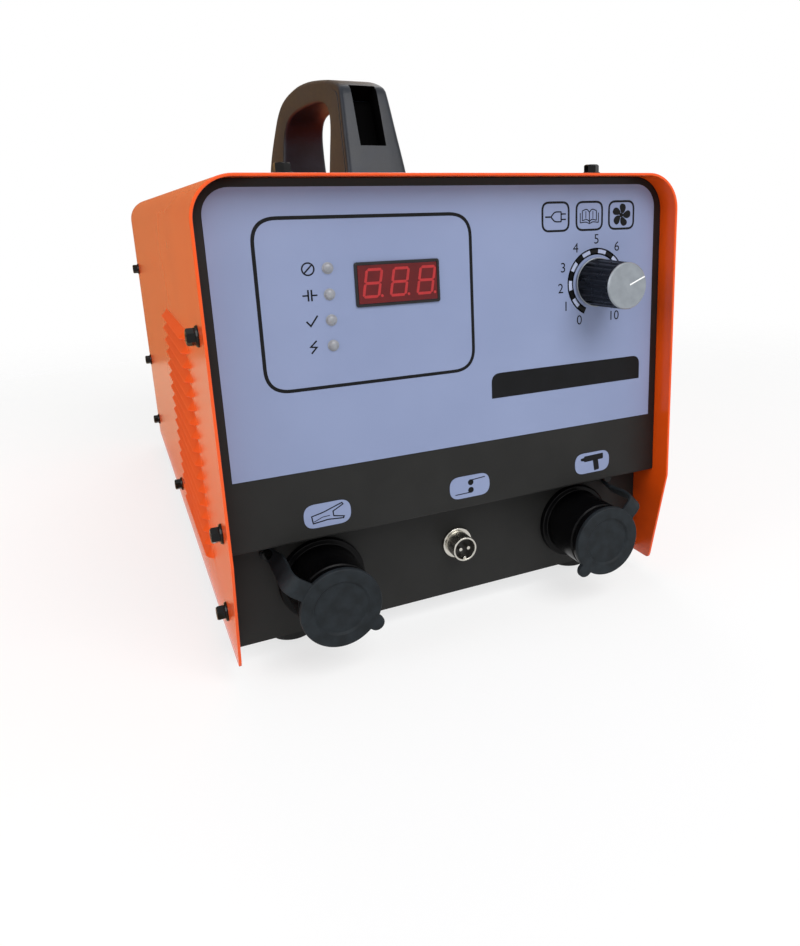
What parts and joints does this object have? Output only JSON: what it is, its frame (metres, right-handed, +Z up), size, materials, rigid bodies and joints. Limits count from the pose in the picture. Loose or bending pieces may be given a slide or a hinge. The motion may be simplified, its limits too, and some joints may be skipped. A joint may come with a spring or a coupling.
{
  "type": "stud welder",
  "caption": "Portable capacitor discharge stud welder: louvred orange cover, black stepped front panel with dial and display, carry handle, capped output sockets.",
  "frame": {"origin": "on the floor under the middle of the machine", "axes": "+X to the right of someone facing the controls, +Y from the front to the back, +Z up"},
  "size_m": [0.3022, 0.5988, 0.365],
  "materials": {
    "orange_paint": "gloss powder coat",
    "black_panel": "fine texture powder coat",
    "zinc_sheet": "galvanised",
    "label_film": "satin film",
    "black_screw": "black oxide",
    "bright_steel": "zinc plated",
    "handle_plastic": "fine grain",
    "black_rubber": "matt",
    "cap_rubber": "satin",
    "gloss_black": "gloss",
    "lens": "milky",
    "red_window": "tinted",
    "silver_cap": "spun",
    "nickel": "nickel plated",
    "contact_brass": "turned",
    "copper_bar": "copper",
    "board_green": "solder mask",
    "can_sleeve": "shrink sleeve",
    "clamp_board": "laminate",
    "sink_alu": "extruded",
    "core_steel": "laminated",
    "coil_wrap": "taped",
    "resistor_green": "glazed",
    "rocker_red": "gloss"
  },
  "bodies": {
    "cabinet": {"base_tray": "zinc_sheet", "front_panel": "black_panel", "rear_panel": "black_panel", "cover": "orange_paint", "panel_overlay": "label_film", "cover_screws_left": "black_screw", "cover_screws_right": "black_screw", "cover_screws_top": "black_screw", "carry_handle": "handle_plastic", "handle_screws": "bright_steel", "feet": "black_rubber", "foot_screws": "bright_steel", "indicator_lenses": "lens", "display_bezel": "gloss_black", "display_window": "red_window", "display_module": "gloss_black", "potentiometer": "zinc_sheet", "pot_nut": "bright_steel", "connector_shell": "nickel", "connector_insert": "gloss_black", "connector_pins": "contact_brass", "connector_nut": "bright_steel", "socket_left_housing": "gloss_black", "socket_left_contact": "contact_brass", "socket_left_strap": "cap_rubber", "socket_right_housing": "gloss_black", "socket_right_contact": "contact_brass", "socket_right_strap": "cap_rubber", "socket_ring_nuts": "gloss_black", "stud_nuts": "bright_steel", "strap_screws": "bright_steel", "control_board": "board_green", "board_standoffs": "bright_steel", "capacitor_cans": "can_sleeve", "capacitor_terminals": "sink_alu", "capacitor_clamp": "clamp_board", "clamp_posts": "bright_steel", "busbar_positive": "copper_bar", "busbar_negative": "copper_bar", "output_bar_left": "copper_bar", "output_bar_right": "copper_bar", "discharge_bar": "copper_bar", "heat_sink": "sink_alu", "thyristor_module": "gloss_black", "transformer_core": "core_steel", "transformer_coil": "coil_wrap", "rectifier_bridge": "gloss_black", "bleed_resistor": "resistor_green", "fan_frame": "gloss_black", "fan_guard": "nickel", "switch_housing": "gloss_black", "cable_gland": "gloss_black", "inlet_fittings": "nickel"},
    "knob": {"knob_body": "gloss_black", "knob_cap": "silver_cap", "pot_shaft": "bright_steel"},
    "left_dust_cap": {"socket_left_cap": "cap_rubber"},
    "right_dust_cap": {"socket_right_cap": "cap_rubber"},
    "fan_wheel": {"fan_rotor": "gloss_black"},
    "power_rocker": {"switch_rocker": "rocker_red"}
  },
  "joints": [
    {"name": "knob_turn", "type": "hinge", "parent": "cabinet", "child": "knob", "pos_m": [0.0936, -0.266, 0.2146], "axis": [0, 1, 0], "range_deg": [-219, 81]},
    {"name": "left_cap_hinge", "type": "hinge", "parent": "cabinet", "child": "left_dust_cap", "pos_m": [-0.11234, -0.2868, 0.06341], "axis": [-0.6018, 0, -0.7986], "range_deg": [0, 110]},
    {"name": "right_cap_hinge", "type": "hinge", "parent": "cabinet", "child": "right_dust_cap", "pos_m": [0.11011, -0.2868, 0.06602], "axis": [-0.6947, 0, 0.7193], "range_deg": [0, 110]},
    {"name": "fan_spin", "type": "hinge", "parent": "cabinet", "child": "fan_wheel", "pos_m": [-0.052, 0.2639, 0.164], "axis": [0, 1, 0], "continuous": true},
    {"name": "rocker_tip", "type": "hinge", "parent": "cabinet", "child": "power_rocker", "pos_m": [0.088, 0.2824, 0.214], "axis": [1, 0, 0], "range_deg": [-24, 0]}
  ]
}
